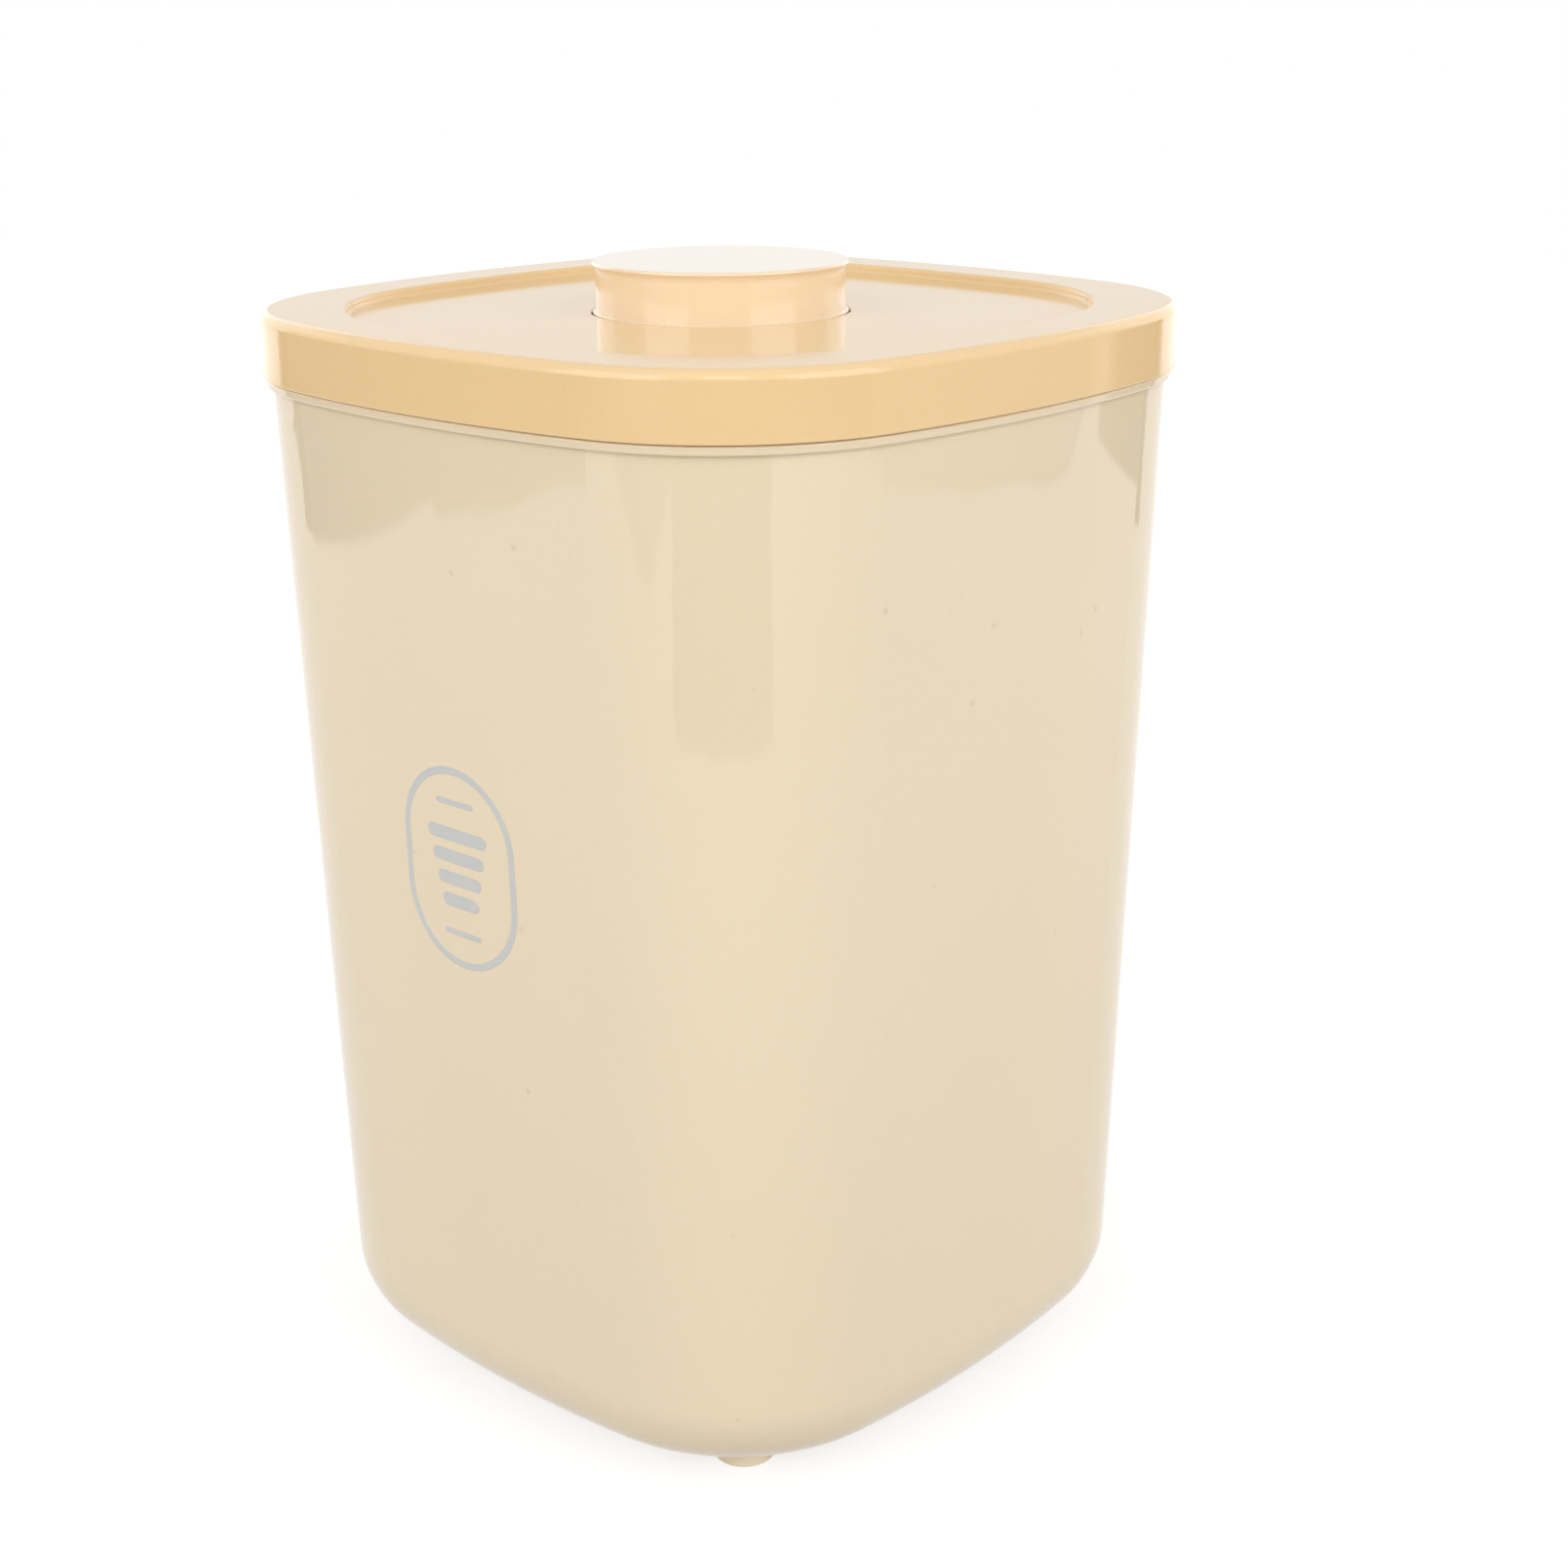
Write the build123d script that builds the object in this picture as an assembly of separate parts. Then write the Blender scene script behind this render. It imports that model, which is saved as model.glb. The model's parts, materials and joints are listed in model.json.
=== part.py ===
"""Dry food storage tub with a push-to-seal lid.

A tapered plastic tub, square in plan with bowed sides and round corners, stands on four pads.
Its lid drops over the rim. The round button in the lid is shown raised. Pressed down, it turns
four rocker levers, which pull the lift plate up and squeeze the gasket out against the tub's wall.
A follower in a heart-shaped track holds the button down until it is pressed again.

Millimetres, +Z up. The origin is on the floor at the centre of the four pads.
"""

from build123d import *

import os
from math import asin, atan2, cos, degrees, radians, sin, sqrt

# Overall sizes
overall_width = 235.0  # across the lid, side to side
overall_height = 325.0  # floor to the lid's border

# Lid plan: four bowed sides and four round corners
lid_side_radius = 360.0
lid_corner_radius = 66.5

# Lid cover
lid_plate = 2.5
skirt_height = 18.6
skirt_wall = 2.2
lid_edge_fillet = 3.0
skirt_edge_fillet = 0.5
recess_border = 19.7  # flat border round the sunken panel, at the middle of a side
recess_side_radius = 340.0
recess_corner_radius = 67.6
recess_depth = 2.7
recess_edge_fillet = 1.3

# Tub
tub_wall = 2.4
tub_floor = 3.2
tub_draft = 8.0  # how far each side leans in from rim to base
base_side_radius = 420.0
base_corner_radius = 65.0
base_fillet = 25.2
rim_inset = 2.9  # lid's outer face to the tub's rim wall
flange_inset = 1.2  # lid's outer face to the edge of the band under the skirt
flange_height = 2.6
flange_fillet = 0.7
flange_gap = 0.3  # skirt to band
lid_rest_gap = 0.3  # tub's rim to the underside of the lid's border
rim_edge_fillet = 0.6
gate_dimple_radius = 9.0
gate_dimple_depth = 0.8
gate_nub_radius = 1.5
gate_nub_height = 0.5

# Feet
foot_radius = 9.2
foot_stand = 3.5  # tub's base above the floor
foot_socket_depth = 1.9
foot_socket_clearance = 0.1
foot_corner_setback = 25.9  # base corner to the foot's centre, along the diagonal
foot_fillet = 0.8

# Button
button_rise = 14.7  # button's top above the panel when raised
button_travel = 12.0
button_radius = 36.45
button_lip = 0.9
button_lip_edge = 0.9
button_lip_flare = 2.4  # height over which the wall curves out to the lip
button_top = 2.4
button_wall = 1.7
button_skirt_below_panel = 18.3
button_edge_fillet = 0.7
collar_height = 2.0
collar_above_panel = 0.3
hole_clearance = 0.4
hole_chamfer = 0.4
sleeve_wall = 2.2
sleeve_depth = 9.8
hook_reach = 2.8
hook_gap = 0.3
hook_arc = 18.0  # degrees
hook_count = 4

# Button core, which hangs under the cap on three screws
core_boss_radius = 3.6
core_boss_length = 9.0
core_boss_circle = 24.0
core_boss_count = 3
core_disc_radius = 31.5
core_disc = 2.0
guide_tube_wall = 1.9
guide_tube_length = 17.5
guide_clearance = 0.3

# Inner tray, screwed up under the lid cover
tray_inset = 13.0  # lid's outer face to the tray's wall
tray_wall = 2.0
tray_depth = 33.8  # panel's underside to the tray's underside
tray_floor = 2.0
locating_rib = 2.2
locating_clearance = 0.2
locating_height = 3.0
guide_post_radius = 5.4
guide_post_height = 28.0
spring_boss_height = 2.0
screw_pilot_spare = 1.0  # tray screw's end to the end of its pilot hole
screw_circle_half = 60.0  # tray screws, from the centre along X and along Y
tray_boss_radius = 4.2
tray_pad_radius = 6.0
tray_pad_height = 2.5

# Gasket and the two lips that hold it
seal_flange_inset = 8.5
seal_flange = 2.2
seal_lip_wall = 1.2
seal_lip_height = 2.0
gasket_height = 14.0
gasket_bead_height = 1.9
gasket_wall = 2.0
gasket_belly_inset = 6.4
gasket_belly_height = 2.4
gasket_clearance = 0.1

# Lift plate under the tray
lift_plate = 2.4
lift_plate_gap = 0.3
lift_plate_fillet = 1.2
lift_recess_inset = 22.0
lift_recess_depth = 0.8

# Rocker levers
lever_count = 4
lever_inner_arm = 30.0
lever_outer_arm = 9.0
lever_tip_radius = 1.5
lever_hub_radius = 3.6
lever_width = 6.0
lever_hub_width = 10.0
lever_button_gap = 0.5
lever_plate_gap = 0.5
lever_side_gap = 0.5
pin_radius = 1.5
pin_running_clearance = 0.05
pin_seat_clearance = 0.02
ear_thickness = 2.5
ear_gap = 0.3
ear_radius = 3.4
post_thickness = 3.0
post_leg = 2.5
post_bridge = 2.5
post_slot_clearance = 0.5

# Push-push latch
cam_centre = 20.0
cam_width = 12.0
cam_thickness = 4.0
cam_length = 22.85
track_depth = 1.8
track_width = 2.4
track_entry = 4.2  # cam's lower end to the follower's pin when the button is up
track_side_shift = 1.5  # how far the follower swings over the whole press
track_fork = 2.0  # pin's rest to the fork of the two branches
track_left_top = 9.0  # pin's rest to the straight part of the left branch
track_right_bend = 6.0
track_right_top = 8.0
track_return_width = 2.6
island_low = 4.5  # pin's rest to the island's lowest point
island_width = 2.4
island_height = 5.0
island_shoulder = 3.0
island_left = 1.0  # track's centre line to the island's left side
island_lean = 0.2
notch_depth = 1.2
notch_hook = 0.6  # how far the notch's left horn stands out and up
follower_arm = 14.0
follower_thickness = 2.0
follower_width = 2.6
follower_hub_radius = 2.2
follower_pin_radius = 0.75
follower_gap = 0.2
latch_pin_radius = 1.0
latch_head_radius = 2.0
latch_head = 1.0
latch_pedestal_thickness = 3.8
latch_pedestal_width = 6.0

# Return spring
spring_wire = 1.2
spring_turns = 6.0
spring_clearance = 0.4
spring_top_gap = 0.1

# Screws
screw_radius = 1.5
screw_head_radius = 3.0
screw_head = 1.8
screw_length = 12.0
screw_clearance = 0.2
screw_seat_clearance = 0.02
core_screw_radius = 1.2
core_screw_head_radius = 2.3
core_screw_head = 1.5
core_screw_length = 7.0
core_pilot_spare = 0.5
screw_recess_radius = 0.9
screw_recess_depth = 0.9


class Outline:
    """A rounded square in plan. Its four sides are shallow arcs, tangent to four corner arcs."""

    def __init__(self, half, side_radius, corner_radius):
        self.half = half
        self.side_radius = side_radius
        self.corner_radius = corner_radius

    def inset(self, distance):
        """The parallel outline that lies this far inside."""
        return Outline(
            self.half - distance,
            self.side_radius - distance,
            self.corner_radius - distance,
        )

    def corner_centre(self):
        """X, which equals Y, of a corner arc's centre."""
        back = self.side_radius - self.half
        span = self.side_radius - self.corner_radius
        return (sqrt(2 * span**2 - back**2) - back) / 2

    def reach(self):
        """Distance from the centre to the outline along a diagonal."""
        return self.corner_centre() * sqrt(2) + self.corner_radius

    def edges(self):
        back = self.side_radius - self.half
        c = self.corner_centre()
        turn = degrees(atan2(c, c + back))
        arcs = []
        for quarter in range(4):
            side = CenterArc((-back, 0, 0), self.side_radius, -turn, 2 * turn)
            corner = CenterArc((c, c, 0), self.corner_radius, turn, 90 - 2 * turn)
            arcs += [arc.rotate(Axis.Z, 90 * quarter) for arc in (side, corner)]
        return arcs

    def face(self, z):
        return Pos(0, 0, z) * make_face(self.edges())

    def block(self, low, high):
        return extrude(self.face(low), amount=high - low, dir=(0, 0, 1))


def band(outer, inner, low, high):
    """The ring between two outlines."""
    return outer.block(low, high) - inner.block(low, high)


def post(radius, low, high, x=0.0, y=0.0):
    """An upright cylinder."""
    return Pos(x, y, low) * Cylinder(
        radius, high - low, align=(Align.CENTER, Align.CENTER, Align.MIN)
    )


def slab(low, high):
    """A box from its lowest to its highest corner."""
    size = [high[i] - low[i] for i in range(3)]
    middle = [(high[i] + low[i]) / 2 for i in range(3)]
    return Pos(*middle) * Box(*size)


def edges_at(solid, z, most_x=None, least_x=None):
    """The level edges at a height whose farthest point in X is within the given limits."""
    found = []
    for edge in solid.edges():
        box = edge.bounding_box()
        level = abs(box.min.Z - z) < 1e-4 and abs(box.max.Z - z) < 1e-4
        farthest = max(abs(v) for v in (box.min.X, box.max.X, box.min.Y, box.max.Y))
        if not level:
            continue
        if most_x is not None and farthest > most_x:
            continue
        if least_x is not None and farthest < least_x:
            continue
        found.append(edge)
    return found


# Plans
lid_plan = Outline(overall_width / 2, lid_side_radius, lid_corner_radius)
rim_plan = lid_plan.inset(rim_inset)
flange_plan = lid_plan.inset(flange_inset)
base_plan = Outline(rim_plan.half - tub_draft, base_side_radius, base_corner_radius)
recess_plan = Outline(
    lid_plan.half - recess_border, recess_side_radius, recess_corner_radius
)
tray_plan = lid_plan.inset(tray_inset)
seal_plan = lid_plan.inset(seal_flange_inset)

# Heights of the lid cover and the tub
lid_top = overall_height
border_under = lid_top - lid_plate
panel_top = lid_top - recess_depth
panel_under = panel_top - lid_plate
skirt_bottom = lid_top - skirt_height
flange_top = skirt_bottom - flange_gap
flange_bottom = flange_top - flange_height
rim_top = border_under - lid_rest_gap
base_z = foot_stand
floor_z = base_z + tub_floor

# Heights of the button
button_top_z = panel_top + button_rise
button_bottom_z = panel_top - button_skirt_below_panel
button_roof_z = button_top_z - button_top
hole_radius = button_radius + button_lip + hole_clearance
sleeve_bottom = panel_under - sleeve_depth
core_top = button_roof_z - core_boss_length
core_under = core_top - core_disc
guide_tube_inner = guide_post_radius + guide_clearance
guide_tube_outer = guide_tube_inner + guide_tube_wall
spring_boss_radius = guide_tube_outer + spring_clearance

# Levers: each one swings through the level, as far up as down
lever_half_swing = asin(button_travel / 2 / lever_inner_arm)
lift_travel = button_travel * lever_outer_arm / lever_inner_arm
lever_contact_radius = button_radius - button_wall / 2
pivot_circle = lever_contact_radius + lever_inner_arm * cos(lever_half_swing)
pivot_z = button_bottom_z - lever_button_gap - lever_tip_radius - button_travel / 2
outer_tip_circle = pivot_circle + lever_outer_arm * cos(lever_half_swing)
outer_tip_z = pivot_z - lift_travel / 2

# Heights of the tray and the lift plate
tray_under = panel_under - tray_depth
tray_floor_z = tray_under + tray_floor
lift_top = tray_under - lift_travel - lift_plate_gap
lift_under = lift_top - lift_plate
seal_flange_under = lift_top + gasket_height
seal_flange_top = seal_flange_under + seal_flange
bridge_under = outer_tip_z + lever_tip_radius + lever_plate_gap
tray_pad_z = tray_floor_z + tray_pad_height

# Latch: the follower's pivot stands on the tray's floor
cam_under = core_under - cam_length
follower_pin_z = cam_under + track_entry
follower_pivot_z = follower_pin_z - follower_arm
cam_face_y = cam_thickness / 2
latch_head_y = cam_face_y + follower_gap
follower_near_y = latch_head_y + latch_head + follower_gap
follower_far_y = follower_near_y + follower_thickness
pedestal_y = follower_far_y + follower_gap

lever_angles = [i * 360 / lever_count for i in range(lever_count)]
screw_spots = [
    (sx * screw_circle_half, sy * screw_circle_half) for sx in (-1, 1) for sy in (-1, 1)
]
core_boss_spots = [
    (
        core_boss_circle * cos(radians(90 + i * 360 / core_boss_count)),
        core_boss_circle * sin(radians(90 + i * 360 / core_boss_count)),
    )
    for i in range(core_boss_count)
]
foot_reach = (base_plan.reach() - foot_corner_setback) / sqrt(2)
foot_spots = {
    "foot_front_left": (-foot_reach, -foot_reach),
    "foot_front_right": (foot_reach, -foot_reach),
    "foot_rear_left": (-foot_reach, foot_reach),
    "foot_rear_right": (foot_reach, foot_reach),
}


def make_tub_shell():
    """Tapered bucket with a rounded base, an upright rim and a band that the skirt comes down to."""
    outside = loft([base_plan.face(base_z), rim_plan.face(flange_bottom)], ruled=True)
    outside = fillet(edges_at(outside, base_z), base_fillet)
    outside += rim_plan.block(flange_bottom, rim_top)
    flange = flange_plan.block(flange_bottom, flange_top)
    flange = fillet(
        edges_at(flange, flange_bottom) + edges_at(flange, flange_top), flange_fillet
    )
    outside += flange

    inside = loft(
        [
            base_plan.inset(tub_wall).face(floor_z),
            rim_plan.inset(tub_wall).face(flange_bottom),
        ],
        ruled=True,
    )
    inside = fillet(edges_at(inside, floor_z), base_fillet - tub_wall)
    inside += rim_plan.inset(tub_wall).block(flange_bottom, rim_top)
    tub = outside - inside
    tub = fillet(edges_at(tub, rim_top), rim_edge_fillet)

    for x, y in foot_spots.values():
        tub -= post(
            foot_radius + foot_socket_clearance, 0, base_z + foot_socket_depth, x, y
        )
    tub -= post(gate_dimple_radius, base_z, base_z + gate_dimple_depth)
    gate_roof = base_z + gate_dimple_depth
    tub += post(gate_nub_radius, gate_roof - gate_nub_height, gate_roof)
    return tub


def make_foot(x, y):
    """Soft round pad, pushed into its socket in the tub's base."""
    pad = post(foot_radius, 0, base_z + foot_socket_depth, x, y)
    return fillet(edges_at(pad, 0), foot_fillet)


def make_lid_cover():
    """Outer lid: border, sunken panel, skirt, button sleeve and screw bosses."""
    cover = lid_plan.block(skirt_bottom, lid_top)
    cover = fillet(edges_at(cover, lid_top), lid_edge_fillet)
    cover = fillet(edges_at(cover, skirt_bottom), skirt_edge_fillet)
    cover -= lid_plan.inset(skirt_wall).block(skirt_bottom, border_under)
    cover += recess_plan.inset(-lid_plate).block(panel_under, border_under)

    pocket = recess_plan.block(panel_top, lid_top)
    pocket = fillet(edges_at(pocket, panel_top), recess_edge_fillet)
    cover -= pocket
    border_middle = (recess_plan.half + lid_plan.half) / 2
    cover = fillet(edges_at(cover, lid_top, most_x=border_middle), recess_edge_fillet)

    rib_plan = tray_plan.inset(tray_wall + locating_clearance)
    cover += band(
        rib_plan,
        rib_plan.inset(locating_rib),
        border_under - locating_height,
        border_under,
    )
    cover += post(hole_radius + sleeve_wall, sleeve_bottom, panel_under)
    for x, y in screw_spots:
        cover += post(tray_boss_radius, tray_pad_z, panel_under, x, y)
        pilot = screw_radius + screw_seat_clearance
        cover -= post(pilot, tray_pad_z, tray_under + screw_length + screw_pilot_spare, x, y)
    cover -= post(hole_radius, sleeve_bottom, panel_top)
    mouth = Pos(0, 0, panel_top - hole_chamfer) * Cone(
        hole_radius,
        hole_radius + hole_chamfer,
        hole_chamfer,
        align=(Align.CENTER, Align.CENTER, Align.MIN),
    )
    return cover - mouth


def make_lever_ears():
    """Two ears, for the lever on the +X side."""
    near = lever_hub_width / 2 + ear_gap
    ears = []
    for side in (-1, 1):
        y0, y1 = sorted((side * near, side * (near + ear_thickness)))
        foot = slab(
            (pivot_circle - ear_radius, y0, tray_floor_z),
            (pivot_circle + ear_radius, y1, pivot_z),
        )
        cap = Pos(pivot_circle, (y0 + y1) / 2, pivot_z) * (
            Rot(90, 0, 0) * Cylinder(ear_radius, ear_thickness)
        )
        ears.append(foot + cap)
    bore = Pos(pivot_circle, 0, pivot_z) * (
        Rot(90, 0, 0)
        * Cylinder(pin_radius + pin_seat_clearance, 2 * (near + ear_thickness))
    )
    return [ear - bore for ear in ears]


def make_lever_pin():
    """Steel pin, for the lever on the +X side."""
    length = lever_hub_width + 2 * (ear_gap + ear_thickness)
    return Pos(pivot_circle, 0, pivot_z) * (
        Rot(90, 0, 0) * Cylinder(pin_radius, length)
    )


def make_inner_tray():
    """Tray that closes the lid from below and carries the levers, the latch and the gasket."""
    tray = band(tray_plan, tray_plan.inset(tray_wall), tray_under, border_under)
    tray += tray_plan.inset(tray_wall / 2).block(tray_under, tray_floor_z)
    tray += band(
        seal_plan, tray_plan.inset(tray_wall / 2), seal_flange_under, seal_flange_top
    )
    tray += band(
        seal_plan,
        seal_plan.inset(seal_lip_wall),
        seal_flange_under - seal_lip_height,
        seal_flange_top,
    )

    tray += post(guide_post_radius, tray_under, tray_floor_z + guide_post_height)
    tray += post(spring_boss_radius, tray_under, tray_floor_z + spring_boss_height)
    for x, y in screw_spots:
        tray += post(tray_pad_radius, tray_under, tray_pad_z, x, y)
        tray -= post(screw_radius + screw_clearance, tray_under, tray_pad_z, x, y)
        head = screw_head_radius + screw_clearance
        tray -= post(head, tray_under, tray_under + screw_head + screw_clearance, x, y)

    slot_x = post_thickness / 2 + post_slot_clearance
    slot_y = lever_width / 2 + lever_side_gap + post_leg + post_slot_clearance
    slot = slab(
        (outer_tip_circle - slot_x, -slot_y, tray_under),
        (outer_tip_circle + slot_x, slot_y, tray_floor_z),
    )
    for angle in lever_angles:
        for ear in make_lever_ears():
            tray += Rot(0, 0, angle) * ear
        tray -= Rot(0, 0, angle) * slot

    half = latch_pedestal_width / 2
    tray += slab(
        (cam_centre - half, pedestal_y, tray_floor_z),
        (
            cam_centre + half,
            pedestal_y + latch_pedestal_thickness,
            follower_pivot_z + half,
        ),
    )
    bore = Pos(
        cam_centre, pedestal_y + latch_pedestal_thickness / 2, follower_pivot_z
    ) * (
        Rot(90, 0, 0)
        * Cylinder(latch_pin_radius + pin_seat_clearance, latch_pedestal_thickness)
    )
    return tray - bore


def make_rocker_lever(angle):
    """Rocker lever with its inner end up. It is made on the +X side and turned into place."""
    hub = Circle(lever_hub_radius)
    inner_tip = Pos(-lever_inner_arm, 0) * Circle(lever_tip_radius)
    outer_tip = Pos(lever_outer_arm, 0) * Circle(lever_tip_radius)
    inner_arm = make_hull(hub.edges() + inner_tip.edges())
    outer_arm = make_hull(Circle(lever_tip_radius).edges() + outer_tip.edges())
    arms = extrude(inner_arm + outer_arm, amount=lever_width / 2, both=True)
    lever = arms + extrude(hub, amount=lever_hub_width / 2, both=True)
    lever -= Cylinder(pin_radius + pin_running_clearance, lever_hub_width)
    lever = Rot(0, degrees(lever_half_swing), 0) * (Rot(90, 0, 0) * lever)
    return Rot(0, 0, angle) * (Pos(pivot_circle, 0, pivot_z) * lever)


def make_lift_plate():
    """Plate that the levers pull up. Four hooked posts rise from it through the tray's floor."""
    plate = seal_plan.block(lift_under, lift_top)
    plate = fillet(edges_at(plate, lift_under), lift_plate_fillet)
    plate += band(
        seal_plan,
        seal_plan.inset(seal_lip_wall),
        lift_top - lift_plate / 2,
        lift_top + seal_lip_height,
    )
    plate -= lid_plan.inset(lift_recess_inset).block(
        lift_under, lift_under + lift_recess_depth
    )
    inner = lever_width / 2 + lever_side_gap
    outer = inner + post_leg
    x0 = outer_tip_circle - post_thickness / 2
    x1 = outer_tip_circle + post_thickness / 2
    hook = slab((x0, -outer, lift_top), (x1, outer, bridge_under + post_bridge))
    hook -= slab((x0, -inner, lift_top), (x1, inner, bridge_under))
    for angle in lever_angles:
        plate += Rot(0, 0, angle) * hook
    return plate


def make_gasket():
    """Silicone ring whose wall bows outward. Its two beads lie inside the lips."""
    seat = gasket_clearance
    low = lift_top + seat
    high = seal_flange_under - seat
    bead_outer = seal_flange_inset + seal_lip_wall + seat
    bead_inner = tray_inset - seat
    middle = (low + high) / 2
    belly = gasket_belly_inset
    crown = gasket_belly_height / 2
    web = bead_outer + gasket_wall / 2
    start = lid_plan.half
    shape = [
        (bead_inner, low),
        (bead_outer, low),
        (bead_outer, low + gasket_bead_height),
        (belly, middle - crown),
        (belly, middle + crown),
        (bead_outer, high - gasket_bead_height),
        (bead_outer, high),
        (bead_inner, high),
        (bead_inner, high - gasket_bead_height),
        (web, high - gasket_bead_height),
        (belly + gasket_wall, middle + crown / 2),
        (belly + gasket_wall, middle - crown / 2),
        (web, low + gasket_bead_height),
        (bead_inner, low + gasket_bead_height),
    ]
    points = [(start - inset, 0, z) for inset, z in shape]
    section = make_face(Polyline(*points, close=True))
    path = Wire([e.moved(Location((0, 0, middle))) for e in lid_plan.inset(belly).edges()])
    return sweep(section, path=path)


def make_button_cap():
    """Round cap with a flared lip, a collar at the panel, hooks that stop it, and three bosses."""
    lip = button_radius + button_lip
    lip_under = button_top_z - button_lip_edge
    flare_start = lip_under - button_lip_flare
    collar_top = panel_top + collar_above_panel
    roof = Polyline((0, 0, button_top_z), (lip, 0, button_top_z), (lip, 0, lip_under))
    flare = TangentArc(
        (button_radius, 0, flare_start), (lip, 0, lip_under), tangent=(0, 0, 1)
    )
    wall = Polyline(
        (button_radius, 0, flare_start),
        (button_radius, 0, collar_top),
        (lip, 0, collar_top),
        (lip, 0, collar_top - collar_height),
        (button_radius, 0, collar_top - collar_height - button_lip),
        (button_radius, 0, button_bottom_z),
        (button_radius - button_wall, 0, button_bottom_z),
        (button_radius - button_wall, 0, button_roof_z),
        (0, 0, button_roof_z),
        (0, 0, button_top_z),
    )
    cap = revolve(make_face(roof + flare + wall), Axis.Z)
    cap = fillet(edges_at(cap, button_top_z), button_edge_fillet)
    collar_middle = (button_radius + lip) / 2
    cap = fillet(edges_at(cap, collar_top, least_x=collar_middle), collar_above_panel)

    hook_top = sleeve_bottom - hook_gap
    hook_outer = button_radius + hook_reach
    hook_profile = Polyline(
        (button_radius - button_wall / 2, 0, hook_top),
        (hook_outer, 0, hook_top),
        (hook_outer, 0, hook_top - hook_reach / 2),
        (button_radius, 0, button_bottom_z),
        (button_radius - button_wall / 2, 0, button_bottom_z),
        close=True,
    )
    hook = revolve(make_face(hook_profile), Axis.Z, hook_arc)
    for i in range(hook_count):
        middle = 360 / hook_count * (i + 0.5)
        cap += Rot(0, 0, middle - hook_arc / 2) * hook
    for x, y in core_boss_spots:
        cap += post(core_boss_radius, core_top, button_roof_z, x, y)
        pilot = core_screw_radius + screw_seat_clearance
        pilot_end = core_under + core_screw_length + core_pilot_spare
        cap -= post(pilot, core_top, pilot_end, x, y)
    return cap


def make_button_core():
    """Disc with the guide tube and the cam bar, whose face has the heart-shaped track."""
    core = post(core_disc_radius, core_under, core_top)
    core += post(guide_tube_outer, core_under - guide_tube_length, core_top)
    core -= post(guide_tube_inner, core_under - guide_tube_length, core_top)
    for x, y in core_boss_spots:
        core -= post(core_screw_radius + screw_clearance, core_under, core_top, x, y)

    half = cam_width / 2
    core += slab(
        (cam_centre - half, -cam_face_y, cam_under),
        (cam_centre + half, cam_face_y, core_under),
    )
    return core - make_track()


def make_track():
    """Heart-shaped track: up the left branch, a notch above the island, down the right branch."""
    half = track_width / 2
    x0 = cam_centre
    z0 = follower_pin_z
    top = z0 + button_travel + half
    left_side = x0 - track_side_shift - half
    right_side = x0 + island_width + track_return_width
    pocket = Polyline(
        (x0 - half, 0, z0 - half),
        (x0 + half, 0, z0 - half),
        (x0 + half, 0, z0 + track_fork),
        (right_side - half, 0, z0 + track_right_bend),
        (right_side, 0, z0 + track_right_top),
        (right_side, 0, top),
        (left_side, 0, top),
        (left_side, 0, z0 + track_left_top),
        (x0 - half, 0, z0 + track_fork),
        close=True,
    )
    left = x0 + island_left
    right = left + island_width
    low = z0 + island_low
    high = low + island_height
    island = Polyline(
        ((left + right) / 2, 0, low),
        (right, 0, low + island_shoulder),
        (right, 0, high),
        ((left + right) / 2, 0, high - notch_depth),
        (left - notch_hook, 0, high + notch_hook),
        (left - island_lean, 0, low + island_shoulder),
        close=True,
    )
    face = make_face(pocket) - make_face(island)
    return Pos(0, cam_face_y - track_depth, 0) * extrude(
        face, amount=track_depth, dir=(0, 1, 0)
    )


def make_latch_follower():
    """Arm that swings on the latch pin. Its own short pin runs in the track."""
    depth = follower_thickness
    hub = Circle(follower_hub_radius)
    tip = Pos(0, follower_arm) * Circle(follower_width / 2)
    arm = extrude(make_hull(hub.edges() + tip.edges()), amount=depth)
    arm -= Cylinder(latch_pin_radius + pin_running_clearance, 3 * depth)
    reach = follower_near_y - (cam_face_y - track_depth) - follower_gap
    pin = Pos(0, follower_arm, depth) * Cylinder(
        follower_pin_radius, reach, align=(Align.CENTER, Align.CENTER, Align.MIN)
    )
    follower = Rot(90, 0, 0) * (arm + pin)
    return Pos(cam_centre, follower_far_y, follower_pivot_z) * follower


def make_latch_pivot():
    """Headed pin that holds the follower on its pedestal."""
    shank_end = pedestal_y + latch_pedestal_thickness
    shank = Cylinder(
        latch_pin_radius,
        shank_end - latch_head_y,
        align=(Align.CENTER, Align.CENTER, Align.MIN),
    )
    head = Cylinder(
        latch_head_radius, latch_head, align=(Align.CENTER, Align.CENTER, Align.MIN)
    )
    pin = Rot(-90, 0, 0) * (shank + head)
    return Pos(cam_centre, latch_head_y, follower_pivot_z) * pin


def make_screw(x, y, seat, radius, head_radius, head, length):
    """Pan-head screw that points up from its seat, with a round driver recess."""
    screw = post(radius, seat - head, seat - head + length, x, y)
    screw += post(head_radius, seat - head, seat, x, y)
    return screw - post(
        screw_recess_radius, seat - head, seat - head + screw_recess_depth, x, y
    )


def make_return_spring():
    """Coil spring between the tray's floor and the button core."""
    radius = spring_boss_radius + spring_clearance + spring_wire / 2
    low = tray_floor_z + spring_wire / 2
    high = core_under - spring_wire / 2 - spring_top_gap
    pitch = (high - low) / spring_turns
    path = Pos(0, 0, low) * Helix(pitch, high - low, radius)
    section = Plane(origin=path @ 0, z_dir=path % 0) * RegularPolygon(spring_wire / 2, 6)
    return sweep(section, path=path, is_frenet=True)


def save(name, shape):
    if isinstance(shape, list):
        shape = Compound(children=shape)
    export_step(shape, f"parts/{name}.step")


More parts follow.
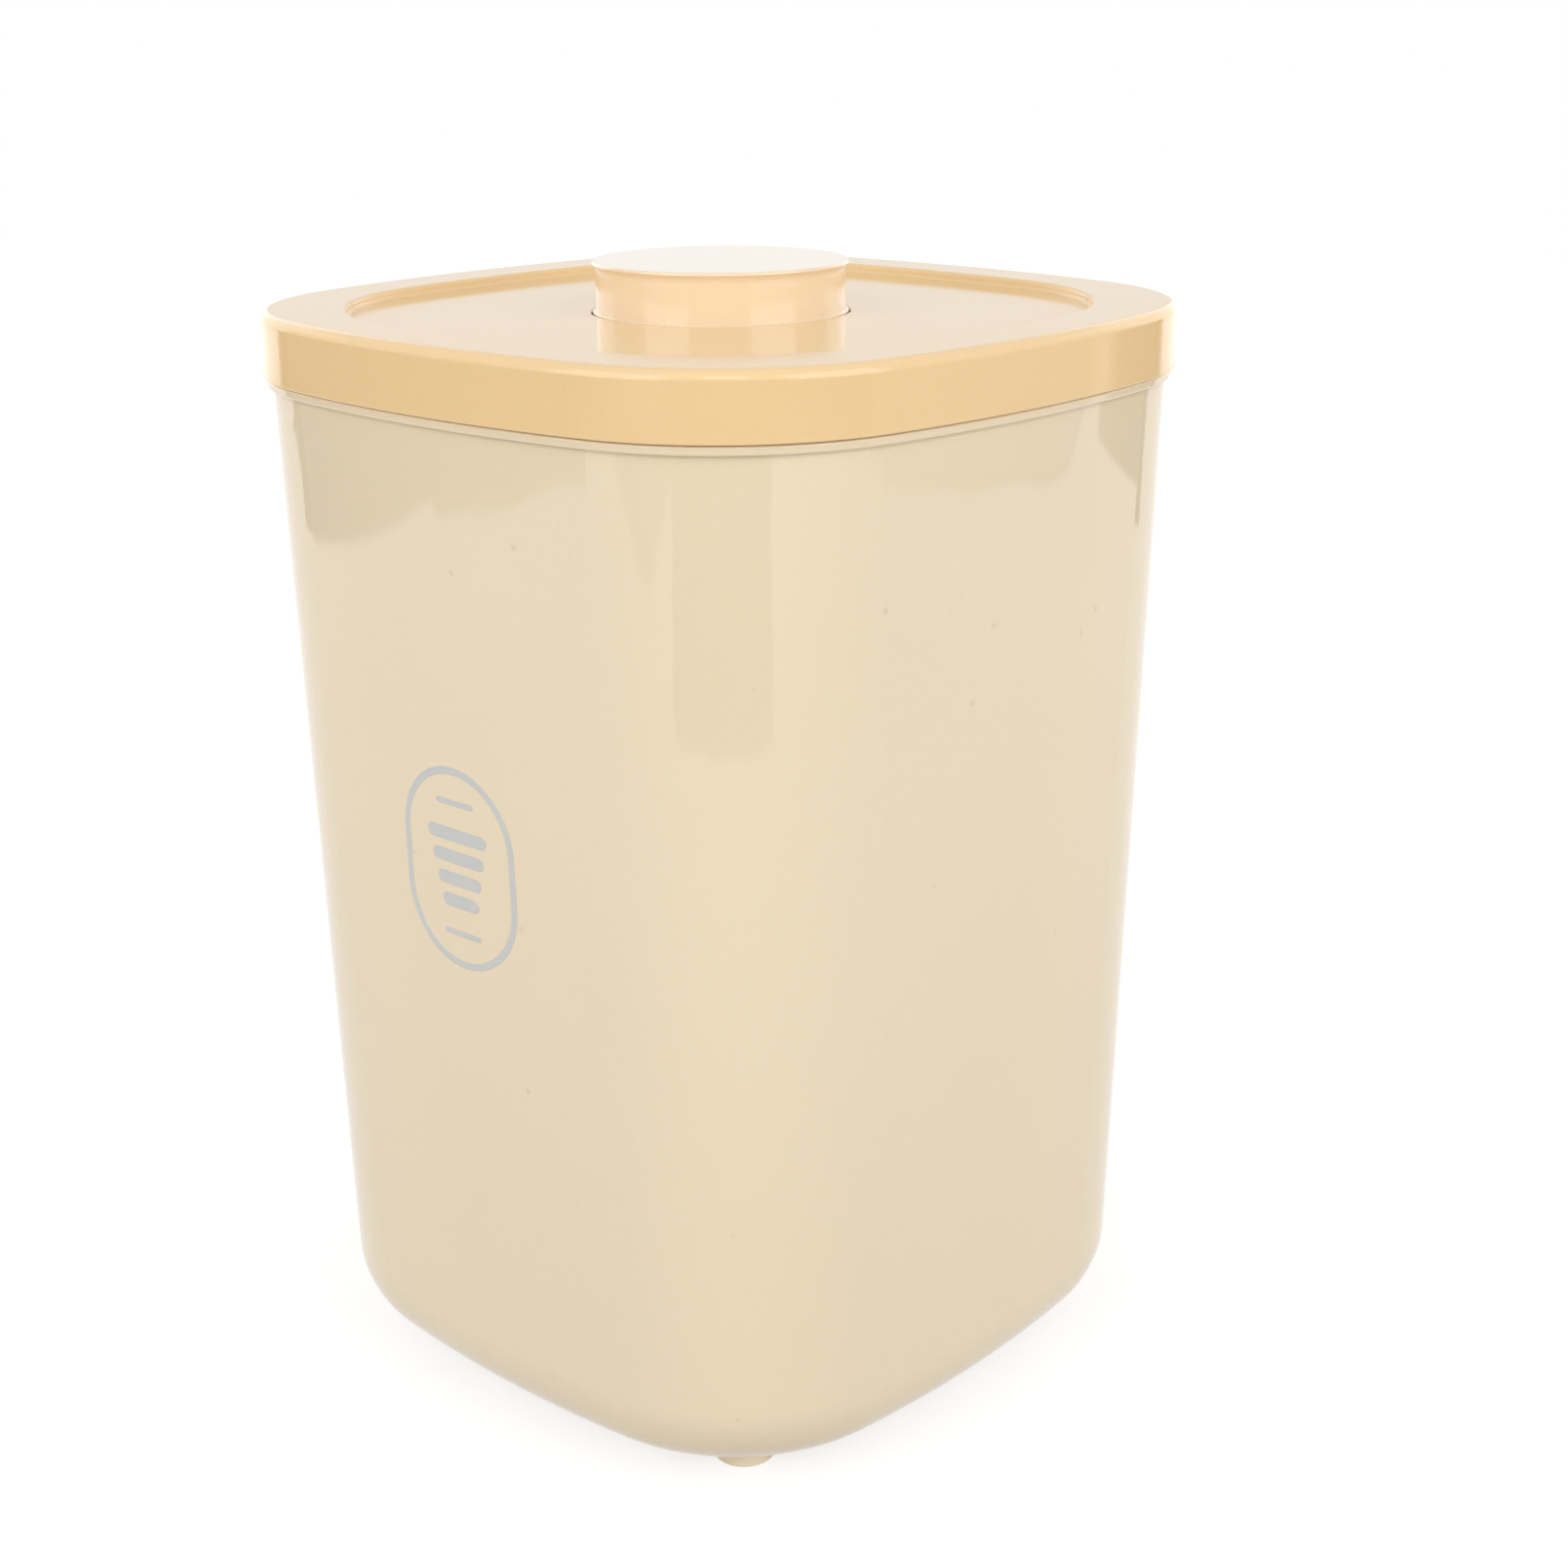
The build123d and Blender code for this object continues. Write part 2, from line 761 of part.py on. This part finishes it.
os.makedirs("parts", exist_ok=True)
save("tub_shell", make_tub_shell())
for foot_name, (foot_x, foot_y) in foot_spots.items():
    save(foot_name, make_foot(foot_x, foot_y))
save("lid_cover", make_lid_cover())
save("inner_tray", make_inner_tray())
save("lever_pins", [Rot(0, 0, angle) * make_lever_pin() for angle in lever_angles])
save("latch_pivot", make_latch_pivot())
save("gasket", make_gasket())
save("return_spring", make_return_spring())
save("lift_plate", make_lift_plate())
save("button_cap", make_button_cap())
save("button_core", make_button_core())
save("latch_follower", make_latch_follower())
for number, lever_angle in enumerate(lever_angles, start=1):
    save(f"rocker_lever_{number}", make_rocker_lever(lever_angle))

tray_screws = [
    make_screw(
        x, y, tray_under + screw_head, screw_radius, screw_head_radius, screw_head, screw_length
    )
    for x, y in screw_spots
]
button_screws = [
    make_screw(
        x,
        y,
        core_under,
        core_screw_radius,
        core_screw_head_radius,
        core_screw_head,
        core_screw_length,
    )
    for x, y in core_boss_spots
]
save("tray_screws", tray_screws)
save("button_screws", button_screws)
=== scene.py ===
"""Looks of the dry food tub: camera, studio, materials, badge, and the soft ring and coil in the lid.

Metres, in the CAD's frame. Colours are written as 8-bit sRGB, as they look in plain light.
"""

import json
from math import atan2, cos, pi, radians, sin, sqrt

import bpy
from mathutils import Matrix, Vector
from mathutils.bvhtree import BVHTree


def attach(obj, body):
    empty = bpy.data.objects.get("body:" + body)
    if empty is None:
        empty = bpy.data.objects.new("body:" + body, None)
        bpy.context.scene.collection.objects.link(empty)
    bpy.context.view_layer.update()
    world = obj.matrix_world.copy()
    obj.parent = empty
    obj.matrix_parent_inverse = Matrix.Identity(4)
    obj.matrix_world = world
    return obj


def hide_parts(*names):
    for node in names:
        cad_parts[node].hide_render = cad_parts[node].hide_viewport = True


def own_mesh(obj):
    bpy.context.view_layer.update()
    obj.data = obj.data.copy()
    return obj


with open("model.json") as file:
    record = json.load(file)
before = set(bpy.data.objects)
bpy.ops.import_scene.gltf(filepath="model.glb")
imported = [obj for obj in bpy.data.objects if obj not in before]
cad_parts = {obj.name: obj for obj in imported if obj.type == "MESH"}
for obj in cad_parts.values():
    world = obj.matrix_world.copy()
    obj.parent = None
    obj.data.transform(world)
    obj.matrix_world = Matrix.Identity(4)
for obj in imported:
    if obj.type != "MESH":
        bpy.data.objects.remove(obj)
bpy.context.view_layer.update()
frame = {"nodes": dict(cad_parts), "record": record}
nodes = frame["nodes"]
mm = 0.001

# Camera, fitted to the photograph. Angles in degrees, lens and sensor in millimetres
camera_place = Vector((0.50408, -0.52965, 0.41537))
camera_heading = 42.21  # about +Z
camera_tilt = -18.10
camera_roll = -0.36
camera_lens = 56.9
camera_sensor = 36

# White sheet and world
sheet_half = 3.0
sheet_near = 0.2  # from the tub's centre; the sheet's shading fades from here
sheet_far = 0.9  # beyond this the camera sees plain white
sheet_glow = 0.65  # share of plain white near the tub
sheet_plain = 1.15  # strength of that plain white
world_light = 0.58

# Soft boxes: name, azimuth from the camera's side, elevation, distance, edge and watts
lamp_aim = Vector((0, 0, 0.17))
lamps = [
    ("left_box", -50, 23, 1.9, 1.5, 13.4),
    ("right_box", 50, 23, 1.9, 1.5, 14.4),
    ("front_box", 0, 31, 2.2, 0.7, 4.4),
    ("left_rim", -138, 10, 2.0, 1.8, 7.0),
    ("right_rim", 138, 10, 2.0, 1.8, 6.5),
]

# Studio flags: azimuth in degrees, distance from the tub's axis and height of each point of
# the low edge
flag_top = 0.36
flag_roughness = 0.9
hem_height = 0.01
left_edge = [
    (-166, 1.22, 0), (-160, 1.19, 0), (-150, 1.16, 0), (-141, 1.2, 0),
    (-136.5, 1.26, 0), (-135.5, 1.2, 0), (-124, 1.22, 0), (-112, 1.38, 0),
]
front_edge = [(-71, 0.74, 0), (-48, 0.7, 0), (-29, 0.72, 0)]
room_edge = [(-166 + 18.5 * i, 1.7, 0) for i in range(11)]
stand_edge = [(-97, 1.0, 0.08), (-83, 0.98, 0), (-71, 1.0, 0.08)]
right_edge = [(62, 1.5, 0), (69, 1.35, 0), (74, 1.2, 0), (77, 1.2, 0)]
board_edge = [
    (19, 1.3, 0.06), (20.5, 1.3, 0.015), (25, 1.3, 0), (40, 1.3, 0),
    (53, 1.3, 0), (57, 1.3, 0.015), (58.5, 1.3, 0.06),
]

# Colours of the tub
cream = (231, 214, 184)
cream_deep = (226, 206, 172)
butter = (236, 203, 151)
butter_deep = (231, 196, 142)
peach = (240, 217, 182)
peach_deep = (235, 210, 173)
pad_tan = (252, 236, 210)
fleck = (150, 128, 98)
dust = (244, 238, 226)
silver = (198, 199, 198)
ivory = (238, 233, 222)
nylon = (240, 239, 235)
silicone = (228, 227, 222)
steel = (184, 184, 186)

# Colours of the studio. Paper is what lights the tub, and bright what the camera and gloss see
paper = (200, 199, 197)
paper_deep = (196, 195, 193)
bright = (250, 250, 249)
bright_deep = (247, 247, 246)
flag_dark = (62, 58, 52)
flag_grey = (170, 166, 158)
flag_pale = (238, 236, 232)
white = (1, 1, 1, 1)
black = (0, 0, 0, 1)

# Badge on the side towards -Y: a ring of ink with a level gauge in it
badge_x = 2.4 * mm
badge_z = 179.5 * mm
badge_half_width = 22.6 * mm
badge_half_height = 29.9 * mm
badge_stroke = 2.15 * mm
badge_steps = 160
print_thickness = 0.08 * mm
print_edge = 0.15 * mm  # width of the bevel along a stroke
bar_count = 4
bar_pitch = 6.6 * mm
bar_height = 3.9 * mm
bar_longest = 24 * mm
bar_step = 3 * mm  # each bar is this much shorter than the one above
bar_columns = 32
line_rise = 19.5 * mm  # badge's centre to each thin line
line_length = 15 * mm
line_height = 1.7 * mm

# Lid plan, as in the CAD
lid_half = 117.5 * mm
lid_side_radius = 360 * mm
lid_corner_radius = 66.5 * mm
lid_arc_steps = 14

# Soft ring. Insets are from the lid's outer edge
ring_low = 282.2 * mm
ring_high = 296.0 * mm
ring_bead = 2.75 * mm
ring_bead_inset = 9.95 * mm
ring_inner_inset = 12.9 * mm
ring_belly_inset = 6.4 * mm
ring_wall = 2.0 * mm
ring_edge = 0.35 * mm
ring_web_steps = 10

# Button's spring
coil_low = 288.0 * mm
coil_high = 323.5 * mm
coil_radius = 9.0 * mm
coil_wire = 1.2 * mm
coil_turns = 8  # the first and the last lie closed
coil_steps = 28
coil_sides = 10


def linear(colour):
    """An 8-bit sRGB colour as linear RGBA."""
    parts = [c / 255 for c in colour]
    return [p / 12.92 if p <= 0.04045 else ((p + 0.055) / 1.055) ** 2.4 for p in parts] + [1]


class Nodes:
    """A node tree, built up by adding nodes and linking them. Scales are waves per metre."""

    def __init__(self, tree):
        self.tree = tree
        self.tree.nodes.clear()

    def add(self, kind, inputs=None, **settings):
        """A new node. An input given as a socket is linked, and any other value is set."""
        node = self.tree.nodes.new(kind)
        for name, value in settings.items():
            setattr(node, name, value)
        for name, value in (inputs or {}).items():
            self.put(node.inputs[name], value)
        return node

    def put(self, socket, value):
        if isinstance(value, bpy.types.NodeSocket):
            self.link(value, socket)
        else:
            socket.default_value = value

    def link(self, source, socket):
        self.tree.links.new(source, socket)

    def place(self):
        """The point on the piece, in metres, whichever way its body has moved."""
        return self.add("ShaderNodeTexCoord").outputs["Object"]

    def height(self):
        point = self.add("ShaderNodeSeparateXYZ", {"Vector": self.place()})
        return point.outputs["Z"]

    def noise(self, scale, detail=2.0, roughness=0.5, vector=None):
        inputs = {
            "Vector": vector or self.place(),
            "Scale": scale,
            "Detail": detail,
            "Roughness": roughness,
        }
        return self.add("ShaderNodeTexNoise", inputs).outputs["Fac"]

    def ramp(self, value, low, high, start=0.0, end=1.0):
        """The value brought from the range low to high into the range start to end."""
        inputs = {
            "Value": value,
            "From Min": low,
            "From Max": high,
            "To Min": start,
            "To Max": end,
        }
        return self.add("ShaderNodeMapRange", inputs).outputs["Result"]

    def mix(self, share, first, second):
        """A colour between two colours."""
        node = self.add("ShaderNodeMix", data_type="RGBA")
        self.put(node.inputs["Factor"], share)
        self.put(node.inputs[6], first)
        self.put(node.inputs[7], second)
        return node.outputs[2]

    def math(self, operation, first, second):
        node = self.add("ShaderNodeMath", {0: first, 1: second}, operation=operation)
        return node.outputs[0]

    def times(self, first, second):
        return self.math("MULTIPLY", first, second)

    def specks(self, spacing, radius, share):
        """Masks small round spots, one in each cell that chance picks."""
        inputs = {"Vector": self.place(), "Scale": 1 / spacing}
        cells = self.add("ShaderNodeTexVoronoi", inputs)
        outer = radius / spacing
        spot = self.ramp(cells.outputs["Distance"], outer, 0.3 * outer)
        chance = self.add("ShaderNodeSeparateColor", {"Color": cells.outputs["Color"]})
        picked = self.math("GREATER_THAN", chance.outputs[0], 1 - share)
        return self.times(spot, picked)

    def seen_directly(self):
        """1 for rays from the camera, and for what gloss, metal and glass show."""
        path = self.add("ShaderNodeLightPath").outputs
        seen = self.math("MAXIMUM", path["Is Camera Ray"], path["Is Glossy Ray"])
        return self.math("MAXIMUM", seen, path["Is Transmission Ray"])


class Material(Nodes):
    """One node material with its shader."""

    def __init__(self, name, kind="ShaderNodeBsdfPrincipled"):
        self.data = bpy.data.materials.new(name)
        self.data.use_nodes = True
        super().__init__(self.data.node_tree)
        output = self.add("ShaderNodeOutputMaterial")
        self.shader = self.add(kind)
        self.link(self.shader.outputs[0], output.inputs["Surface"])

    def surface(self, **inputs):
        """Sets or links inputs of the shader, named with _ for each space."""
        for name, value in inputs.items():
            self.put(self.shader.inputs[name.replace("_", " ")], value)

    def bump(self, height, distance, strength=1.0):
        inputs = {"Height": height, "Distance": distance, "Strength": strength}
        self.surface(Normal=self.add("ShaderNodeBump", inputs).outputs["Normal"])


def moulded_plastic(name, colour, deep, gloss, peel=0.01, wave=0.0, flecks=False, coat=0.0):
    """Injection-moulded plastic: faint flow marks, fine orange peel, handling marks in the gloss.

    Peel and wave are the heights of the fine and the broad unevenness, in millimetres.
    """
    m = Material(name)
    flow = m.ramp(m.noise(scale=9, detail=3, roughness=0.55), 0.3, 0.7, 0, 0.2)
    tone = m.mix(flow, linear(colour), linear(deep))
    grain = m.ramp(m.noise(scale=700), 0.35, 0.75, 0, 0.05)
    tone = m.mix(grain, tone, linear(dust))
    if flecks:
        dark = m.specks(spacing=17 * mm, radius=1.3 * mm, share=0.6)
        tone = m.mix(m.times(dark, 0.17), tone, linear(fleck))
        near_base = m.ramp(m.height(), 0.20, 0.02, 0.1, 1.0)
        pale = m.times(m.specks(spacing=4 * mm, radius=0.4 * mm, share=0.5), near_base)
        tone = m.mix(m.times(pale, 0.35), tone, linear(dust))
    smear = m.ramp(m.noise(scale=26, detail=4, roughness=0.6), 0.3, 0.75, gloss, gloss + 0.02)
    m.surface(Base_Color=tone, Roughness=smear, IOR=1.5)
    m.surface(Coat_Weight=coat, Coat_Roughness=0.12)
    fine = m.times(m.noise(scale=420), peel)
    broad = m.times(m.noise(scale=14, detail=1), wave)
    m.bump(m.math("ADD", fine, broad), 1 * mm)
    return m.data


def soft_rubber(name, colour, deep, roughness):
    """Silicone or pad rubber: matt, a little uneven, with dust caught in it."""
    m = Material(name)
    tone = m.mix(m.ramp(m.noise(scale=60, detail=3), 0.3, 0.7), linear(colour), linear(deep))
    lint = m.specks(spacing=3 * mm, radius=0.15 * mm, share=0.3)
    tone = m.mix(m.times(lint, 0.3), tone, linear(dust))
    smear = m.ramp(m.noise(scale=120, detail=3), 0.3, 0.7, roughness, roughness + 0.12)
    m.surface(Base_Color=tone, Roughness=smear)
    m.bump(m.noise(scale=900, detail=3), 0.05 * mm, 0.6)
    return m.data


def bright_steel(name):
    """Drawn steel wire and turned pins, with fine drawing lines and a few dull patches."""
    m = Material(name)
    inputs = {"Vector": m.place(), "Scale": (300, 300, 4000)}
    stretched = m.add("ShaderNodeMapping", inputs).outputs["Vector"]
    lines = m.noise(scale=1, vector=stretched)
    tone = m.mix(lines, linear(steel), linear(nylon))
    dull = m.ramp(m.noise(scale=200, detail=3), 0.3, 0.7, 0.22, 0.38)
    m.surface(Base_Color=tone, Roughness=dull, Metallic=1.0)
    m.bump(lines, 0.02 * mm, 0.5)
    return m.data


def silver_print():
    """Screen-printed silver ink: flat, a little metallic, thinner in places."""
    m = Material("silver_print")
    thin = m.ramp(m.noise(scale=220, detail=4, roughness=0.6), 0.4, 0.8, 0, 0.2)
    tone = m.mix(thin, linear(silver), linear(cream))
    smear = m.ramp(m.noise(scale=900), 0.3, 0.7, 0.34, 0.46)
    m.surface(Base_Color=tone, Roughness=smear, Metallic=0.15)
    return m.data


def make_materials():
    """A material for each slot of the record, put on every CAD node."""
    made = {
        "tub_plastic": moulded_plastic(
            "tub_gloss", cream, cream_deep, 0.045, peel=0.004, wave=0.3, flecks=True
        ),
        "lid_plastic": moulded_plastic(
            "lid_gloss", butter, butter_deep, 0.1, peel=0.006, wave=0.1
        ),
        "button_plastic": moulded_plastic("button_gloss", peach, peach_deep, 0.14, coat=0.8),
        "tray_plastic": moulded_plastic("tray_satin", ivory, cream, 0.38, peel=0.03),
        "mechanism_plastic": moulded_plastic("nylon_satin", nylon, ivory, 0.42, peel=0.03),
        "silicone": soft_rubber("silicone_matt", silicone, ivory, 0.5),
        "foot_pad": soft_rubber("pad_matt", pad_tan, cream_deep, 0.45),
        "steel": bright_steel("steel_drawn"),
    }
    for entry in frame["record"]["subparts"]:
        mesh = nodes[entry["node"]].data
        for i in range(len(mesh.materials)):
            mesh.materials[i] = made[entry["material_slot"]]
    return made


def new_object(name, vertices, faces, material, smooth=True):
    mesh = bpy.data.meshes.new(name)
    mesh.from_pydata(vertices, [], faces)
    mesh.validate()
    mesh.materials.append(material)
    for face in mesh.polygons:
        face.use_smooth = smooth
    piece = bpy.data.objects.new(name, mesh)
    bpy.context.scene.collection.objects.link(piece)
    return piece


def swept(name, sections, material, closed=True):
    """A tube through sections of the same number of points, closed on itself or capped."""
    count = len(sections[0])
    vertices = [point for section in sections for point in section]
    faces = []
    for i in range(len(sections) if closed else len(sections) - 1):
        j = (i + 1) % len(sections)
        for k in range(count):
            n = (k + 1) % count
            faces.append((i * count + k, j * count + k, j * count + n, i * count + n))
    if not closed:
        faces.append(tuple(reversed(range(count))))
        faces.append(tuple(range(len(vertices) - count, len(vertices))))
    return new_object(name, vertices, faces, material)


class SideWall:
    """The tub's wall towards -Y, for print that lies on it."""

    def __init__(self):
        graph = bpy.context.evaluated_depsgraph_get()
        self.tree = BVHTree.FromObject(nodes["tub_shell"], graph)

    def point(self, x, z, proud):
        hit, normal, _, _ = self.tree.ray_cast(Vector((x, -1, z)), Vector((0, 1, 0)))
        return hit + normal * proud


def ink_section(half):
    """Offset and height of each point round a stroke of ink, whose back lies in the wall."""
    shape = [(-half, -1), (-half, 0.5), (-half + print_edge, 1), (0, 1), (half - print_edge, 1)]
    shape += [(half, 0.5), (half, -1), (0, -1)]
    return [(offset, level * print_thickness) for offset, level in shape]


def printed_ring(wall, material):
    """The badge's outline: a stadium-shaped band of ink, swept clockwise so its faces face out."""
    radius = badge_half_width - badge_stroke / 2
    straight = badge_half_height - badge_half_width
    sections = []
    for i in range(badge_steps):
        angle = -2 * pi * (i + 0.5) / badge_steps
        lift = straight if sin(angle) > 0 else -straight
        section = []
        for offset, proud in ink_section(badge_stroke / 2):
            x = badge_x + (radius + offset) * cos(angle)
            z = badge_z + (radius + offset) * sin(angle) + lift
            section.append(wall.point(x, z, proud))
        sections.append(section)
    ring = swept("badge_ring", sections, material)
    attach(ring, "tub")


def printed_bar(wall, material, name, x, z, length, height):
    """A bar of ink with round ends, laid on the wall column by column."""
    radius = height / 2
    reach = length / 2 - radius
    sections = []
    for i in range(bar_columns + 1):
        across = -cos(pi * i / bar_columns) * length / 2
        past = max(abs(across) - reach, 0)
        half = sqrt(max(radius**2 - past**2, (0.15 * radius) ** 2))
        section = ink_section(half)
        sections.append([wall.point(x + across, z + up, proud) for up, proud in section])
    bar = swept(name, sections, material, closed=False)
    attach(bar, "tub")


def make_badge():
    """Ring with a plain level gauge in it: bars, shorter downward, between two thin lines."""
    wall = SideWall()
    ink = silver_print()
    printed_ring(wall, ink)
    for i in range(bar_count):
        z = badge_z + (bar_count - 1) / 2 * bar_pitch - i * bar_pitch
        length = bar_longest - i * bar_step
        printed_bar(wall, ink, f"badge_level_{i + 1}", badge_x, z, length, bar_height)
    for name, side in (("badge_line_top", 1), ("badge_line_bottom", -1)):
        z = badge_z + side * line_rise
        printed_bar(wall, ink, name, badge_x, z, line_length, line_height)


def lid_arcs(steps):
    """Centre, radius and direction of each point round the lid's outer edge, anticlockwise."""
    back = lid_side_radius - lid_half
    span = lid_side_radius - lid_corner_radius
    corner = (sqrt(2 * span**2 - back**2) - back) / 2
    turn = atan2(corner, corner + back)
    for quarter in range(4):
        spin = Matrix.Rotation(quarter * pi / 2, 3, "Z")
        for i in range(steps):
            angle = -turn + 2 * turn * i / steps
            way = Vector((cos(angle), sin(angle), 0))
            yield spin @ Vector((-back, 0, 0)), lid_side_radius, spin @ way
        for i in range(steps):
            angle = turn + (pi / 2 - 2 * turn) * i / steps
            way = Vector((cos(angle), sin(angle), 0))
            yield spin @ Vector((corner, corner, 0)), lid_corner_radius, spin @ way


def ring_profile():
    """Inset and height of each point round the soft ring's section, two beads and a bowed web."""
    low = ring_low + ring_bead
    high = ring_high - ring_bead
    web = []
    for i in range(ring_web_steps + 1):
        share = i / ring_web_steps
        bow = (ring_bead_inset - ring_belly_inset) * sin(pi * share)
        web.append((ring_bead_inset - bow, low + (high - low) * share))
    outer = [(ring_bead_inset + ring_edge, ring_low), (ring_bead_inset, ring_low + ring_edge)]
    outer += web
    outer += [(ring_bead_inset, ring_high - ring_edge), (ring_bead_inset + ring_edge, ring_high)]
    inner = [(ring_inner_inset - ring_edge, ring_high)]
    inner += [(ring_inner_inset, ring_high - ring_edge), (ring_inner_inset, high + ring_edge)]
    inner += [(inset + ring_wall, z) for inset, z in reversed(web[1:-1])]
    inner += [(ring_inner_inset, low - ring_edge), (ring_inner_inset, ring_low + ring_edge)]
    inner += [(ring_inner_inset - ring_edge, ring_low)]
    return outer + inner


def make_soft_ring(material):
    """The silicone ring between the tray and the lift plate, which the plate squashes as it rises.
    Here it keeps one shape and moves with the lid.
    """
    profile = ring_profile()
    sections = []
    for centre, radius, way in lid_arcs(lid_arc_steps):
        section = [centre + way * (radius - inset) + Vector((0, 0, z)) for inset, z in profile]
        sections.append(section)
    ring = swept("gasket_ring", sections, material)
    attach(ring, "lid")
    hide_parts("gasket")
    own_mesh(ring)


def make_coil(material):
    """The button's spring, wound from round wire with closed ends."""
    height = coil_high - coil_low - coil_wire
    pitch = (height - 2 * coil_wire) / (coil_turns - 2)
    sections = []
    for i in range(coil_turns * coil_steps + 1):
        angle = 2 * pi * i / coil_steps
        turn = i / coil_steps
        closed = min(turn, 1) + max(turn - coil_turns + 1, 0)
        rise = closed * coil_wire + (turn - closed) * pitch
        out = Vector((cos(angle), sin(angle), 0))
        middle = out * coil_radius + Vector((0, 0, coil_low + coil_wire / 2 + rise))
        section = []
        for k in range(coil_sides):
            turned = 2 * pi * k / coil_sides
            spoke = out * cos(turned) + Vector((0, 0, sin(turned)))
            section.append(middle + spoke * coil_wire / 2)
        sections.append(section)
    coil = swept("return_coil", sections, material, closed=False)
    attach(coil, "lid")
    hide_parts("return_spring")
    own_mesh(coil)


def make_camera():
    camera = bpy.data.objects.new("camera", bpy.data.cameras.new("camera"))
    bpy.context.scene.collection.objects.link(camera)
    camera.data.sensor_width = camera_sensor
    camera.data.lens = camera_lens
    camera.data.clip_start = 0.01
    turn = Matrix.Rotation(radians(camera_heading), 4, "Z")
    tilt = Matrix.Rotation(radians(90 + camera_tilt), 4, "X")
    roll = Matrix.Rotation(radians(camera_roll), 4, "Z")
    camera.matrix_world = Matrix.Translation(camera_place) @ turn @ tilt @ roll
    bpy.context.scene.camera = camera


def make_sheet():
    """The white sheet that the tub stands on. It keeps the tub's shadow, and fades to white."""
    half = sheet_half
    corners = [(-half, -half, 0), (half, -half, 0), (half, half, 0), (-half, half, 0)]
    m = Material("white_sheet", "ShaderNodeMixShader")
    direct = m.seen_directly()
    lighting = m.mix(m.noise(scale=8), linear(paper), linear(paper_deep))
    seen = m.mix(m.noise(scale=8), linear(bright), linear(bright_deep))
    shaded = m.add("ShaderNodeBsdfDiffuse", {"Color": m.mix(direct, lighting, seen)})
    plain = m.add("ShaderNodeEmission", {"Color": white, "Strength": sheet_plain})
    away = m.add("ShaderNodeVectorMath", {0: m.place()}, operation="LENGTH").outputs["Value"]
    share = m.ramp(away, sheet_near, sheet_far, sheet_glow, 1.0)
    m.put(m.shader.inputs[0], m.times(direct, share))
    m.put(m.shader.inputs[1], shaded.outputs[0])
    m.put(m.shader.inputs[2], plain.outputs[0])
    sheet = new_object("white_sheet", corners, [(0, 1, 2, 3)], m.data, smooth=False)


def flag_cloth(name, colour):
    """Matt woven cloth or board."""
    m = Material(name)
    weave = m.ramp(m.noise(scale=300), 0.3, 0.7, 0, 0.3)
    m.surface(Base_Color=m.mix(weave, linear(colour), black), Roughness=flag_roughness)
    return m.data


def add_flag(name, material, low, high=None):
    """A studio flag that only gloss shows, from its low edge to its high edge or to flag_top."""
    if high is None:
        high = [(azimuth, distance, flag_top) for azimuth, distance, _ in low]
    points = []
    for azimuth, distance, height in low + high:
        turn = radians(azimuth)
        points.append((cos(turn) * distance, sin(turn) * distance, height))
    count = len(low)
    faces = [(i, i + 1, count + i + 1, count + i) for i in range(count - 1)]
    flag = new_object(name, points, faces, material, smooth=False)
    flag.visible_camera = False
    flag.visible_diffuse = False
    flag.visible_shadow = False


def make_flags():
    """What stood round the tub, and shows in its gloss: dark cloths, a stand and a pale board."""
    dark = flag_cloth("flag_dark", flag_dark)
    grey = flag_cloth("flag_grey", flag_grey)
    pale = flag_cloth("flag_pale", flag_pale)
    add_flag("left_flag", dark, left_edge)
    add_flag("front_flag", dark, front_edge)
    add_flag("room_flag", dark, room_edge)
    add_flag("stand_flag", grey, stand_edge)
    add_flag("right_flag", dark, right_edge)
    hem = [(azimuth, distance, height + hem_height) for azimuth, distance, height in board_edge]
    add_flag("board_hem", grey, board_edge, hem)
    add_flag("board_flag", pale, hem)


def make_world():
    """White to the camera and in gloss, and dimmer as a light."""
    world = bpy.data.worlds.new("studio")
    bpy.context.scene.world = world
    world.use_nodes = True
    sky = Nodes(world.node_tree)
    output = sky.add("ShaderNodeOutputWorld")
    strength = sky.ramp(sky.seen_directly(), 0, 1, world_light, 1.0)
    background = sky.add("ShaderNodeBackground", {"Color": white, "Strength": strength})
    sky.link(background.outputs[0], output.inputs["Surface"])


def add_lamp(name, azimuth, elevation, distance, size, power):
    """A square soft box that faces the middle of the tub."""
    turn = radians(azimuth)
    rise = radians(elevation)
    way = Vector((cos(turn) * cos(rise), sin(turn) * cos(rise), sin(rise)))
    lamp = bpy.data.objects.new(name, bpy.data.lights.new(name, "AREA"))
    lamp.data.size = size
    lamp.data.energy = power
    lamp.location = lamp_aim + way * distance
    lamp.rotation_euler = way.to_track_quat("Z", "Y").to_euler()
    bpy.context.scene.collection.objects.link(lamp)


def make_lamps():
    front = camera_heading - 90
    for name, aside, elevation, distance, size, power in lamps:
        add_lamp(name, front + aside, elevation, distance, size, power)


materials = make_materials()
make_badge()
make_soft_ring(materials["silicone"])
make_coil(materials["steel"])
make_camera()
make_sheet()
make_flags()
make_world()
make_lamps()
bpy.context.scene.view_settings.view_transform = "Standard"
